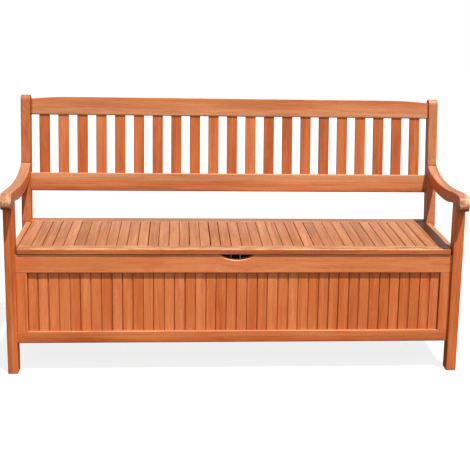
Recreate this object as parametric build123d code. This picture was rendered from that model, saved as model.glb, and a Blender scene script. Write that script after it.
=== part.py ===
import os
from math import cos, radians, sin, tan

from build123d import *

# Overall sizes, with Y counted from the front face of the front legs until everything is centred
LEG_SPAN = 1560.0        # outer face to outer face of the legs
TOTAL_H = 900.0          # floor to the tops of the back posts
SEAT_Z = 442.0           # floor to the top of the lid
POST_Y = 424.0           # front face of the legs to front face of the posts
RAKE = 8.0               # lean of the backrest in degrees

# Legs, posts and armrests
LEG_W = 35.0
LEG_D = 50.0
POST_D = 48.0
POST_TOP_R = 20.0
BEND_R = 60.0
EDGE_R = 3.0
FOOT_CHAMFER = 2.0
ARM_W = 36.0
ARM_T = 43.0
ARM_RISE = 152.0         # lid top to the tops of the front legs
ARM_DIP = 14.0           # sag of the armrest between leg and post
ARM_LIFT = 20.0          # rise of the armrest at the post
ARM_END_T = 39.0
ARM_EDGE_R = 4.0
NOSE = 46.0              # armrest in front of the leg
NOSE_DROP = 10.0         # nose below the top of the leg
NOSE_R = 30.0
LIP_R = 12.0
ARM_TENON = (12.0, 30.0, 20.0)

# Backrest
BACK_RAIL_T = 22.0
BACK_RAIL_H = 67.0
BACK_RAIL_SET = 9.0      # rails behind the front faces of the posts
BACK_LOW = 111.0         # seat to the bottom rail, along the lean
TOP_RAIL_DOWN = 6.0      # top rail below the ends of the posts, along the lean
TOP_EASE = 8.0           # drop of the top rail at its ends
TOP_EASE_RUN = 150.0
BACK_SLATS = 21
BACK_SLAT_W = 38.5
BACK_SLAT_T = 12.0

# Panels of the chest
RAIL_T = 22.0
PANEL_SET = 12.0         # front panel behind the front faces of the legs
TOP_RAIL_H = 65.0
LOW_RAIL_H = 42.0
LOW_RAIL_Z = 106.0       # floor to the bottom rails
STILE_W = 36.5
BOARD_T = 10.0
BOARD_GAP = 2.0
BOARD_CHAMFER = 1.5
BOARD_SET = 9.0          # front boards behind the faces of their rails
REAR_BOARD_GAP = 1.0
TONGUE = 4.0             # tongue of a board in the groove of the next one
TONGUE_T = 3.0
GROOVE = 10.0            # depth of the grooves in the rails
FRONT_BOARDS = 40
SIDE_BOARDS = 11
SIDE_RAIL_T = 20.0
SIDE_RAIL_H = 60.0
SIDE_RAIL_DROP = 6.0     # side top rails below the top of the lid
SIDE_TENON = (10.0, 14.0, 16.0)
TOP_TENON_DOWN = 10.0    # top of a side top rail to its tenons
LOW_TENON_DOWN = 4.0     # top of a side bottom rail to its tenons
GRIP_W = 120.0
GRIP_DEPTH = 20.0
GRIP_END_R = 18.0

# Floor
CLEAT = 20.0
FLOOR_SLATS = 20
FLOOR_SLAT_T = 10.0
FLOOR_GAP = 12.0
FLOOR_END_GAP = 0.5
FLOOR_DROP = 18.0        # cleat tops below the tops of the bottom rails

# Lid
LID_T = 20.0
LID_NOSE_R = 6.0
LID_OVERHANG = 4.0       # lid in front of the front panel
LID_END_GAP = 6.0
LID_RAIL_W = 44.0
LID_LEDGE = 10.0         # ledge of the front rail under the slats
LID_SLATS = 39
LID_SLAT_T = 14.0
LID_SLAT_GAP = 1.6
LID_END_W = 42.5
BATTEN_W = 30.0
BATTEN_T = 20.0
BATTEN_END = 13.0        # battens inside the ends of the lid
JOINT_CHAMFER = 3.0      # chamfers of lid and strip along the hinges

# Hinges
HINGE_X = (-520.0, 0.0, 520.0)
HINGE_L = 60.0
HINGE_GAP = 3.0          # between lid and strip
HINGE_ROOM = 1.0         # recesses past the ends of the hinges
BARREL_R = 3.0
PIN_R = 1.6
LEAF_T = 1.2
LEAF_H = 28.0            # pin to the lower edge of a leaf
KNUCKLES = 5
SCREW_R = 1.5
SCREW_HEAD_R = 3.0
SCREW_L = 14.0
SCREW_PLACES = ((-20.0, 23.0), (0.0, 14.0), (20.0, 23.0))

# Bolts and barrel nuts
BOLT_R = 3.0
BOLT_HEAD_R = 6.0
BOLT_HEAD_T = 4.0
BOLT_SINK = 6.0          # depth of the counterbores
BOLT_ROOM = 1.0          # counterbores around the heads
BOLT_BITE = 45.0         # bolt inside a rail
NUT_IN = 35.0            # end of a rail to its barrel nut
NUT_R = 5.0
NUT_L = 14.0
TOP_BOLT_UP = 20.0       # lower edge of a top rail to its bolt
LOW_BOLT_UP = 11.0       # lower edge of a bottom rail to its bolt
ARM_BOLT_UP = 34.0       # top of the leg to the bolt of the armrest
ARM_BOLT_SINK = 10.0

# Clearances
FIT = 0.2                # wood in mortises and grooves
PLAY = 0.05              # pin and nut bores
HOLE = 0.3               # bolt holes
REST = 0.3               # lid over the front panel
BARREL_ROOM = 0.4        # wood and leaves around the hinge barrels
KNUCKLE_GAP = 0.2

lean_sin = sin(radians(RAKE))
lean_cos = cos(radians(RAKE))
outer_x = LEG_SPAN / 2
inner_x = outer_x - LEG_W
arm_z = SEAT_Z + ARM_RISE
lid_low = SEAT_Z - LID_T
slat_low = SEAT_Z - LID_SLAT_T
lid_x = inner_x - LID_END_GAP
pin_y = POST_Y - HINGE_GAP / 2
pin_z = SEAT_Z - BARREL_R
lid_back = POST_Y - HINGE_GAP
lid_front = PANEL_SET - LID_OVERHANG
slat_front = lid_front + LID_RAIL_W
low_rail_top = LOW_RAIL_Z + LOW_RAIL_H
front_top = lid_low - REST
panel_low = front_top - TOP_RAIL_H
cleat_top = low_rail_top - FLOOR_DROP
side_top = SEAT_Z - SIDE_RAIL_DROP
post_reach = (TOTAL_H - SEAT_Z + POST_TOP_R * (lean_sin - 1)) / lean_cos + POST_TOP_R
back_top = post_reach - TOP_RAIL_DOWN
slat_t0 = BACK_LOW + BACK_RAIL_H
slat_t1 = back_top - BACK_RAIL_H
back_plane = Plane((0, POST_Y, SEAT_Z), x_dir=(1, 0, 0), z_dir=(0, lean_sin, lean_cos))


def slab(x0, x1, y0, y1, z0, z1):
    return Pos((x0 + x1) / 2, (y0 + y1) / 2, (z0 + z1) / 2) * Box(x1 - x0, y1 - y0, z1 - z0)


def rod(start, along, radius, length):
    low = (Align.CENTER, Align.CENTER, Align.MIN)
    return Plane(start, z_dir=along).location * Cylinder(radius, length, align=low)


def lean(t, n):
    # A place on the raked backrest: t up along the lean, n behind the front faces of the posts
    return (POST_Y + t * lean_sin + n * lean_cos, SEAT_Z + t * lean_cos - n * lean_sin)


def post_face(z):
    return POST_Y + (z - SEAT_Z) * tan(radians(RAKE))


def post_back(z):
    return post_face(z) + POST_D / lean_cos


def mirrored(part):
    return mirror(part, about=Plane.YZ)


def group(solids):
    return Compound(children=list(solids))


def at_both_ends(part):
    return part + mirrored(part)


# Bolts stand along X at these places (y, z) in legs and posts; the last two are in the backrest
front_y = PANEL_SET + RAIL_T / 2
rear_y = POST_Y + RAIL_T / 2
back_n = BACK_RAIL_SET + BACK_RAIL_T / 2
top_bolt_z = panel_low + TOP_BOLT_UP
low_bolt_z = LOW_RAIL_Z + LOW_BOLT_UP
leg_bolts = ((front_y, top_bolt_z), (front_y, low_bolt_z))
post_bolts = (
    (rear_y, top_bolt_z),
    (rear_y, low_bolt_z),
    lean(BACK_LOW + BACK_RAIL_H / 2, back_n),
    lean(slat_t1 + BACK_RAIL_H / 2, back_n),
)
arm_bolt_z = arm_z + ARM_BOLT_UP
arm_bolt_x = outer_x - LEG_W / 2
arm_bolt_y = post_face(arm_bolt_z)
arm_seat_y = post_back(arm_bolt_z) - ARM_BOLT_SINK


def bolt(seat, along, length):
    back = -Vector(along)
    return rod(seat, along, BOLT_R, length) + rod(seat, back, BOLT_HEAD_R, BOLT_HEAD_T)


def bolt_way(seat, along, length):
    # Hole for the shank and a counterbore from the seat of the head outwards
    back = -Vector(along)
    return rod(seat, along, BOLT_R + HOLE, length) + rod(seat, back, BOLT_HEAD_R + BOLT_ROOM, 3 * BOLT_SINK)


def nut(centre, along, bolt_along):
    body = rod(Vector(centre) - Vector(along) * NUT_L / 2, along, NUT_R, NUT_L)
    return body - rod(Vector(centre) - Vector(bolt_along) * 2 * NUT_R, bolt_along, BOLT_R + PLAY, 4 * NUT_R)


def nut_way(centre, along, length):
    # Blind hole that the nut is dropped in from, towards the given side
    start = Vector(centre) - Vector(along) * (NUT_L / 2)
    return rod(start, along, NUT_R + PLAY, NUT_L / 2 + length)


def rail_holes(y, z, side):
    # Bolt hole and nut hole at the right end of a rail
    way = rod((inner_x - BOLT_BITE, y, z), (1, 0, 0), BOLT_R + HOLE, BOLT_BITE)
    return at_both_ends(way + nut_way((inner_x - NUT_IN, y, z), side, RAIL_T))


def side_tenon(z0, y0, along):
    # Stub tenon on the end of a side rail, from its shoulder
    wide, long, high = SIDE_TENON
    x = inner_x + SIDE_RAIL_T / 2
    y1 = y0 + along * long
    return (x - wide / 2, x + wide / 2, min(y0, y1), max(y0, y1), z0, z0 + high)


def grown(limits):
    x0, x1, y0, y1, z0, z1 = limits
    return slab(x0 - FIT, x1 + FIT, y0 - FIT, y1 + FIT, z0 - FIT, z1 + FIT)


top_tenon_z = side_top - TOP_TENON_DOWN - SIDE_TENON[2]
low_tenon_z = low_rail_top - LOW_TENON_DOWN - SIDE_TENON[2]


def arm_tenon(room):
    wide, deep, high = ARM_TENON
    x = outer_x - LEG_W / 2
    y = LEG_D / 2
    return slab(x - wide / 2 - room, x + wide / 2 + room, y - deep / 2 - room, y + deep / 2 + room,
                arm_z - room, arm_z + high + room)


def front_leg():
    leg = slab(inner_x, outer_x, 0, LEG_D, 0, arm_z)
    leg = fillet(leg.edges().filter_by(Axis.Z), EDGE_R)
    leg = chamfer(leg.faces().sort_by(Axis.Z)[0].edges(), FOOT_CHAMFER)
    leg += arm_tenon(0)
    for z in (top_tenon_z, low_tenon_z):
        leg -= grown(side_tenon(z, LEG_D, -1))
    for y, z in leg_bolts:
        leg -= bolt_way((outer_x - BOLT_SINK, y, z), (-1, 0, 0), LEG_W)
    return leg


def back_post():
    bend = SEAT_Z - POST_D * tan(radians(RAKE / 2))
    rear = POST_Y + POST_D
    outline = Polyline((POST_Y, 0), (POST_Y, SEAT_Z), lean(post_reach, 0), lean(post_reach, POST_D),
                       (rear, bend), (rear, 0), close=True)
    face = make_face(outline)
    face = fillet(face.vertices().sort_by(Axis.Y)[-2:], POST_TOP_R)
    bends = [v for v in face.vertices() if bend - 1 < v.Y < SEAT_Z + 1]
    face = fillet(bends, BEND_R)
    post = Pos(inner_x, 0, 0) * extrude(Plane.YZ * face, LEG_W)
    sides = post.faces().filter_by(Axis.X)
    post = fillet([e for e in sides.edges() if e.center().Z > 1], EDGE_R)
    post = chamfer(post.faces().sort_by(Axis.Z)[0].edges(), FOOT_CHAMFER)
    for z in (top_tenon_z, low_tenon_z):
        post -= grown(side_tenon(z, POST_Y, 1))
    for y, z in post_bolts:
        post -= bolt_way((outer_x - BOLT_SINK, y, z), (-1, 0, 0), LEG_W)
    return post - bolt_way((arm_bolt_x, arm_seat_y, arm_bolt_z), (0, -1, 0), 2 * POST_D)


def armrest():
    # Side outline: sagging top, round nose, flat seat on the leg, sagging underside, cut to the post
    hump = arm_z + ARM_T
    lip = arm_z - NOSE_DROP
    end_top = hump + ARM_LIFT
    end_low = end_top - ARM_END_T
    sags = ((0.8 * POST_Y, 0.6 * ARM_DIP), (0.53 * POST_Y, ARM_DIP), (0.28 * POST_Y, 0.65 * ARM_DIP))
    top_y = post_face(end_top)
    low_y = post_face(end_low)
    slope = (0.92, 0.39)
    top_points = [(top_y, end_top)] + [(y, hump - d) for y, d in sags] + [(NOSE_R - NOSE, hump)]
    low_points = [(LEG_D, arm_z)] + [(y, arm_z - d) for y, d in reversed(sags)] + [(low_y, end_low)]
    edges = [
        Spline(*top_points, tangents=((-slope[0], -slope[1]), (-1, 0))),
        TangentArc((NOSE_R - NOSE, hump), (-NOSE, hump - NOSE_R), tangent=(-1, 0)),
        Line((-NOSE, hump - NOSE_R), (-NOSE, lip + LIP_R)),
        TangentArc((-NOSE, lip + LIP_R), (LIP_R - NOSE, lip), tangent=(0, -1)),
        Spline((LIP_R - NOSE, lip), (0, arm_z), tangents=((1, 0), (1, 0))),
        Line((0, arm_z), (LEG_D, arm_z)),
        Spline(*low_points, tangents=((1, 0), slope)),
        Line((low_y, end_low), (top_y, end_top)),
    ]
    face = make_face(edges)
    arm = Pos(outer_x - (LEG_W + ARM_W) / 2, 0, 0) * extrude(Plane.YZ * face, ARM_W)
    rims = arm.faces().filter_by(Axis.X).edges()
    last = rims.sort_by(Axis.Y)[-2:]
    arm = fillet([e for e in rims if e not in last], ARM_EDGE_R)
    arm -= arm_tenon(FIT)
    arm -= bolt_way((arm_bolt_x, arm_seat_y, arm_bolt_z), (0, -1, 0), arm_seat_y - arm_bolt_y + BOLT_BITE)
    return arm - nut_way((arm_bolt_x, arm_bolt_y - NUT_IN, arm_bolt_z), (0, 0, -1), ARM_T)


back_pitch = (2 * inner_x + BACK_SLAT_W) / (BACK_SLATS + 1)
back_slat_xs = [(i - (BACK_SLATS - 1) / 2) * back_pitch for i in range(BACK_SLATS)]


def back_slat(x, room):
    half = BACK_SLAT_W / 2 + room
    thick = BACK_SLAT_T / 2 + room
    return slab(x - half, x + half, back_n - thick, back_n + thick,
                slat_t0 - GROOVE - room, slat_t1 + GROOVE + room)


def back_rails():
    # Both rails in the plane of the backrest, with a mortise for each slat
    n0 = BACK_RAIL_SET
    n1 = n0 + BACK_RAIL_T
    low = slab(-inner_x, inner_x, n0, n1, BACK_LOW, slat_t0)
    low = fillet(low.edges().filter_by(Axis.X), EDGE_R)
    ease_x = inner_x - TOP_EASE_RUN
    end_t = back_top - TOP_EASE
    outline = [
        Line((-inner_x, slat_t1), (inner_x, slat_t1)),
        Line((inner_x, slat_t1), (inner_x, end_t)),
        TangentArc((ease_x, back_top), (inner_x, end_t), tangent=(1, 0)),
        Line((ease_x, back_top), (-ease_x, back_top)),
        TangentArc((-ease_x, back_top), (-inner_x, end_t), tangent=(-1, 0)),
        Line((-inner_x, end_t), (-inner_x, slat_t1)),
    ]
    top = Pos(0, n1, 0) * extrude(Plane.XZ * make_face(outline), BACK_RAIL_T)
    ends = top.faces().filter_by(Axis.X).edges()
    top = fillet([e for e in top.edges() if e not in ends], EDGE_R)
    for x in back_slat_xs:
        mortise = back_slat(x, FIT)
        low -= mortise
        top -= mortise
    holes = []
    for t in (BACK_LOW + BACK_RAIL_H / 2, slat_t1 + BACK_RAIL_H / 2):
        holes.append(rail_holes(back_n, t, (0, 1, 0)))
    place = back_plane.location
    return place * (top - holes[1]), place * (low - holes[0])


def back_slats():
    slats = []
    for x in back_slat_xs:
        slat = back_slat(x, 0)
        slats.append(back_plane.location * chamfer(slat.edges().filter_by(Axis.Z), BOARD_CHAMFER))
    return group(slats)


def panel_rails(y0, top_z, face, inside):
    # Top and bottom rail of the front or rear panel, grooved for the boards set back from the outer face
    y1 = y0 + RAIL_T
    mid = y0 + RAIL_T / 2
    top = slab(-inner_x, inner_x, y0, y1, panel_low, top_z)
    low = slab(-inner_x, inner_x, y0, y1, LOW_RAIL_Z, low_rail_top)
    g0, g1 = face
    top -= slab(-inner_x, inner_x, g0 - FIT, g1 + FIT, panel_low, panel_low + GROOVE)
    low -= slab(-inner_x, inner_x, g0 - FIT, g1 + FIT, low_rail_top - GROOVE, low_rail_top)
    top -= rail_holes(mid, top_bolt_z, inside)
    low -= rail_holes(mid, low_bolt_z, inside)
    return top, low


def panel_stile(y0, face):
    stile = slab(inner_x - STILE_W, inner_x, y0, y0 + RAIL_T, low_rail_top, panel_low)
    return stile + slab(inner_x - STILE_W, inner_x, *face, low_rail_top - GROOVE, panel_low + GROOVE - FIT)


def board_row(count, pitch, gap, face, z1):
    # Upright boards side by side from the bottom rail up to z1, their shown edges chamfered
    half = (pitch - gap) / 2
    wood = slab(-half, half, *face, low_rail_top - GROOVE, z1 + GROOVE - FIT)
    wood = chamfer(wood.edges().filter_by(Axis.Z), BOARD_CHAMFER)
    return [(Pos((i - (count - 1) / 2) * pitch, 0, 0), wood) for i in range(count)]


def tongued_row(count, pitch, face, z1):
    # The same row with each board's tongue in a groove of the next one
    half = (pitch - BOARD_GAP) / 2
    y0 = (face[0] + face[1] - TONGUE_T) / 2
    y1 = y0 + TONGUE_T
    bottom, top = low_rail_top - GROOVE, z1 + GROOVE - FIT
    tongue = slab(half, half + BOARD_GAP + TONGUE, y0, y1, bottom, top)
    groove = slab(-half, TONGUE + FIT - half, y0 - FIT, y1 + FIT, bottom, top)
    boards = []
    for i, (place, wood) in enumerate(board_row(count, pitch, BOARD_GAP, face, z1)):
        if i > 0:
            wood = wood - groove
        if i < count - 1:
            wood = wood + tongue
        boards.append(place * wood)
    return boards


panel_pitch = 2 * (inner_x - STILE_W) / FRONT_BOARDS
front_face = (PANEL_SET + BOARD_SET, PANEL_SET + BOARD_SET + BOARD_T)
rear_face = (POST_Y + RAIL_T / 2 - BOARD_T / 2, POST_Y + RAIL_T / 2 + BOARD_T / 2)


def hand_grip(rail):
    # Shallow arc out of the top edge, its two corners rounded
    radius = (GRIP_W ** 2 / 4 + GRIP_DEPTH ** 2) / (2 * GRIP_DEPTH)
    start = (0, 0, front_top - GRIP_DEPTH + radius)
    rail -= rod(start, (0, 1, 0), radius, PANEL_SET + 2 * RAIL_T)
    corners = rail.edges().filter_by(Axis.Y).filter_by_position(Axis.X, -GRIP_W, GRIP_W)
    return fillet(corners.filter_by_position(Axis.Z, panel_low + GROOVE + 1, front_top + 1), GRIP_END_R)


def side_rails():
    y0, y1 = LEG_D, POST_Y
    x0, x1 = inner_x, inner_x + SIDE_RAIL_T
    g0 = inner_x + (SIDE_RAIL_T - BOARD_T) / 2 - FIT
    g1 = g0 + BOARD_T + 2 * FIT
    top_low = side_top - SIDE_RAIL_H
    top = slab(x0, x1, y0, y1, top_low, side_top) - slab(g0, g1, y0, y1, top_low, top_low + GROOVE)
    low = slab(x0, x1, y0, y1, LOW_RAIL_Z, low_rail_top)
    low -= slab(g0, g1, y0, y1, low_rail_top - GROOVE, low_rail_top)
    for y, along in ((LEG_D, -1), (POST_Y, 1)):
        top += slab(*side_tenon(top_tenon_z, y, along))
        low += slab(*side_tenon(low_tenon_z, y, along))
    return top, low


def side_boards():
    face = (-BOARD_T / 2, BOARD_T / 2)
    row = tongued_row(SIDE_BOARDS, (POST_Y - LEG_D) / SIDE_BOARDS, face, side_top - SIDE_RAIL_H)
    place = Pos(inner_x + SIDE_RAIL_T / 2, (LEG_D + POST_Y) / 2, 0) * Rot(0, 0, 90)
    return group(place * wood for wood in row)


def floor_pieces():
    y0 = PANEL_SET + RAIL_T
    front = slab(-inner_x, inner_x, y0, y0 + CLEAT, cleat_top - CLEAT, cleat_top)
    rear = slab(-inner_x, inner_x, POST_Y - CLEAT, POST_Y, cleat_top - CLEAT, cleat_top)
    pitch = 2 * inner_x / FLOOR_SLATS
    half = (pitch - FLOOR_GAP) / 2
    top = cleat_top + FLOOR_SLAT_T
    slat = slab(-half, half, y0 + FLOOR_END_GAP, POST_Y - FLOOR_END_GAP, cleat_top, top)
    xs = [(i - (FLOOR_SLATS - 1) / 2) * pitch for i in range(FLOOR_SLATS)]
    return front, rear, group(Pos(x, 0, 0) * slat for x in xs)


def barrel_coves():
    # Rounded recesses along the joint that give the hinge barrels room
    reach = HINGE_L / 2 + HINGE_ROOM
    radius = BARREL_R + BARREL_ROOM
    return [rod((x - reach, pin_y, pin_z), (1, 0, 0), radius, 2 * reach) for x in HINGE_X]


def screw_spots():
    return [(x + dx, pin_z - dz) for x in HINGE_X for dx, dz in SCREW_PLACES]


def pilots(y, along):
    return [rod((x, y, z), (0, along, 0), SCREW_R + PLAY, SCREW_L) for x, z in screw_spots()]


def seat_strip():
    strip = slab(-inner_x, inner_x, POST_Y, POST_Y + POST_D, lid_low, SEAT_Z)
    front = strip.edges().filter_by(Axis.X).sort_by(Axis.Z)[-2:].sort_by(Axis.Y)
    strip = chamfer(front[0], JOINT_CHAMFER)
    return strip - barrel_coves() - pilots(POST_Y, 1)


def lid_front_rail():
    back = slat_front + LID_LEDGE
    rail = slab(-lid_x, lid_x, lid_front, back, lid_low, SEAT_Z)
    rail = fillet(rail.edges().filter_by(Axis.X).sort_by(Axis.Y)[:2].sort_by(Axis.Z)[-1], LID_NOSE_R)
    return rail - slab(-lid_x, lid_x, slat_front, back, slat_low, SEAT_Z)


def lid_board(width):
    wood = slab(-width / 2, width / 2, slat_front, lid_back, slat_low, SEAT_Z)
    wood = chamfer(wood.edges().filter_by(Axis.Y).sort_by(Axis.Z)[-2:], BOARD_CHAMFER)
    edge = wood.faces().sort_by(Axis.Y)[-1].edges().sort_by(Axis.Z)[-1]
    return chamfer(edge, JOINT_CHAMFER)


def lid_slats():
    pitch = 2 * (lid_x - LID_END_W) / LID_SLATS
    wood = lid_board(pitch - LID_SLAT_GAP)
    slats = []
    for i in range(LID_SLATS):
        x = (i - (LID_SLATS - 1) / 2) * pitch
        slat = Pos(x, 0, 0) * wood
        if min(abs(x - h) for h in HINGE_X) < (HINGE_L + pitch) / 2 + HINGE_ROOM:
            slat = slat - barrel_coves()
        slats.append(slat)
    return group(slats)


def lid_battens():
    half = lid_x - BATTEN_END
    rear = slab(-half, half, lid_back - BATTEN_W, lid_back, slat_low - BATTEN_T, slat_low)
    mid = (slat_front + lid_back) / 2
    middle = slab(-half, half, mid - BATTEN_W / 2, mid + BATTEN_W / 2, slat_low - BATTEN_T, slat_low)
    return rear - pilots(lid_back, -1), middle


def hinge_leaf(x, side):
    # Leaf with its knuckles: side +1 is screwed to the strip and rail, side -1 to the lid
    wall = HINGE_GAP / 2
    y0, y1 = sorted((pin_y + side * wall, pin_y + side * (wall - LEAF_T)))
    top = pin_z - BARREL_R - BARREL_ROOM
    leaf = slab(x - HINGE_L / 2, x + HINGE_L / 2, y0, y1, pin_z - LEAF_H, top)
    step = HINGE_L / KNUCKLES
    for k in range(0 if side > 0 else 1, KNUCKLES, 2):
        x0 = x - HINGE_L / 2 + k * step + KNUCKLE_GAP / 2
        x1 = x0 + step - KNUCKLE_GAP
        leaf += rod((x0, pin_y, pin_z), (1, 0, 0), BARREL_R, x1 - x0)
        leaf += slab(x0, x1, y0, y1, top, pin_z)
    leaf -= rod((x - HINGE_L, pin_y, pin_z), (1, 0, 0), PIN_R + PLAY, 2 * HINGE_L)
    for dx, dz in SCREW_PLACES:
        leaf -= screw_head((x + dx, pin_y + side * (wall - LEAF_T), pin_z - dz), side, PLAY)
    return leaf


def screw_head(place, side, room):
    # Countersunk head: a cone as deep as the leaf, its wide end at the given place
    cone = Cone(SCREW_HEAD_R + room, SCREW_R + room, LEAF_T, align=(Align.CENTER, Align.CENTER, Align.MIN))
    return Plane(place, z_dir=(0, side, 0)).location * cone


def hinge_screws(side):
    y = pin_y + side * (HINGE_GAP / 2 - LEAF_T)
    screws = []
    for x, z in screw_spots():
        shank = rod((x, y + side * LEAF_T, z), (0, side, 0), SCREW_R, SCREW_L)
        screws.append(screw_head((x, y, z), side, 0) + shank)
    return group(screws)


def hinge_pins():
    return group(rod((x - HINGE_L / 2, pin_y, pin_z), (1, 0, 0), PIN_R, HINGE_L) for x in HINGE_X)


def frame_bolts():
    bolts = []
    for y, z in leg_bolts + post_bolts:
        one = bolt((outer_x - BOLT_SINK, y, z), (-1, 0, 0), LEG_W - BOLT_SINK + BOLT_BITE)
        bolts += [one, mirrored(one)]
    return group(bolts)


def arm_bolts():
    length = arm_seat_y - arm_bolt_y + BOLT_BITE
    one = bolt((arm_bolt_x, arm_seat_y, arm_bolt_z), (0, -1, 0), length)
    return group([one, mirrored(one)])


def barrel_nuts():
    nuts = []
    across = (0, lean_cos, -lean_sin)
    for i, (y, z) in enumerate(leg_bolts + post_bolts):
        along = across if i > 3 else (0, 1, 0)
        one = nut((inner_x - NUT_IN, y, z), along, (1, 0, 0))
        nuts += [one, mirrored(one)]
    one = nut((arm_bolt_x, arm_bolt_y - NUT_IN, arm_bolt_z), (0, 0, 1), (0, 1, 0))
    return group(nuts + [one, mirrored(one)])


def build():
    front_top_rail, front_low_rail = panel_rails(PANEL_SET, front_top, front_face, (0, 1, 0))
    rear_top_rail, rear_low_rail = panel_rails(POST_Y, lid_low, rear_face, (0, -1, 0))
    upper_back, lower_back = back_rails()
    side_upper, side_lower = side_rails()
    rear_row = board_row(FRONT_BOARDS, panel_pitch, REAR_BOARD_GAP, rear_face, panel_low)
    cleat_front, cleat_rear, floor_slats = floor_pieces()
    rear_batten, middle_batten = lid_battens()
    nodes = {
        "back_top_rail": upper_back,
        "back_bottom_rail": lower_back,
        "back_slats": back_slats(),
        "front_top_rail": hand_grip(front_top_rail),
        "front_bottom_rail": front_low_rail,
        "front_boards": group(tongued_row(FRONT_BOARDS, panel_pitch, front_face, panel_low)),
        "rear_top_rail": rear_top_rail - pilots(POST_Y, 1),
        "rear_bottom_rail": rear_low_rail,
        "rear_boards": group(place * wood for place, wood in rear_row),
        "floor_cleat_front": cleat_front,
        "floor_cleat_rear": cleat_rear,
        "floor_slats": floor_slats,
        "seat_rear_strip": seat_strip(),
        "lid_front_rail": lid_front_rail(),
        "lid_slats": lid_slats(),
        "lid_rear_batten": rear_batten,
        "lid_middle_batten": middle_batten,
        "hinge_leaves_fixed": group(hinge_leaf(x, 1) for x in HINGE_X),
        "hinge_leaves_lid": group(hinge_leaf(x, -1) for x in HINGE_X),
        "hinge_pins": hinge_pins(),
        "hinge_screws_fixed": hinge_screws(1),
        "hinge_screws_lid": hinge_screws(-1),
        "frame_bolts": frame_bolts(),
        "arm_bolts": arm_bolts(),
        "barrel_nuts": barrel_nuts(),
    }
    pairs = {
        "front_leg": front_leg(),
        "back_post": back_post(),
        "armrest": armrest(),
        "front_stile": panel_stile(PANEL_SET, front_face),
        "rear_stile": panel_stile(POST_Y, rear_face),
        "side_top_rail": side_upper,
        "side_bottom_rail": side_lower,
        "side_boards": side_boards(),
        "lid_end_board": Pos(lid_x - LID_END_W / 2, 0, 0) * lid_board(LID_END_W),
    }
    for name, part in pairs.items():
        nodes[name + "_right"] = part
        nodes[name + "_left"] = mirrored(part)
    return nodes


nodes = build()
middle = (nodes["armrest_right"].bounding_box().min.Y + nodes["back_post_right"].bounding_box().max.Y) / 2
os.makedirs("parts", exist_ok=True)
for name, part in nodes.items():
    export_step(Pos(0, -middle, 0) * part, f"parts/{name}.step")
print("nodes", len(nodes), "middle", round(middle, 4), "pin", round(pin_y - middle, 4), pin_z)
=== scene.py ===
import bpy
import numpy as np
from mathutils import Matrix, Vector


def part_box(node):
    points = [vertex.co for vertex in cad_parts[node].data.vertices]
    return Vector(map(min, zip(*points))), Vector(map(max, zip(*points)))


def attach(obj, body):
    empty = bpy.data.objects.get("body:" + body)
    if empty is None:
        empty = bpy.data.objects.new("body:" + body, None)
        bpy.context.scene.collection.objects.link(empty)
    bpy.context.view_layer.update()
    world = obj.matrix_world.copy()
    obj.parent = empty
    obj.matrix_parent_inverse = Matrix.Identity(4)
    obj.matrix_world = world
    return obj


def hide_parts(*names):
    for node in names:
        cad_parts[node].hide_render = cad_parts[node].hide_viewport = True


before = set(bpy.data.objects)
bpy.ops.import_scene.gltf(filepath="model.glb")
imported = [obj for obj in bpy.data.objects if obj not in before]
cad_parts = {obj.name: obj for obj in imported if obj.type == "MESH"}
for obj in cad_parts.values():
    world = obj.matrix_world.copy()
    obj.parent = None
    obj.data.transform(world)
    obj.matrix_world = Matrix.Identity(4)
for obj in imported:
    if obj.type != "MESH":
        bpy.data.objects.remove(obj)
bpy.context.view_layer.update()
chance = np.random.default_rng(23)  # grain, tones and joints
dirt = np.random.default_rng(7)  # how dirty each joint is
print("frame loaded,", len(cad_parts), "nodes")


class Shade:
    # a socket that can stand in a Python expression; each operator adds one Math node
    def __init__(self, tree, socket):
        self.tree = tree
        self.socket = socket

    def maths(self, operation, *terms):
        node = self.tree.nodes.new("ShaderNodeMath")
        node.operation = operation
        for entry, term in zip(node.inputs, terms):
            plug(self.tree, entry, term)
        return Shade(self.tree, node.outputs[0])

    def __add__(self, other):
        return self.maths("ADD", self, other)

    def __sub__(self, other):
        return self.maths("SUBTRACT", self, other)

    def __rsub__(self, other):
        return self.maths("SUBTRACT", other, self)

    def __mul__(self, other):
        return self.maths("MULTIPLY", self, other)

    def __pow__(self, other):
        return self.maths("POWER", self, other)

    __radd__ = __add__
    __rmul__ = __mul__


def plug(tree, entry, value):
    if isinstance(value, Shade):
        tree.links.new(value.socket, entry)
    else:
        entry.default_value = value


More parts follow.
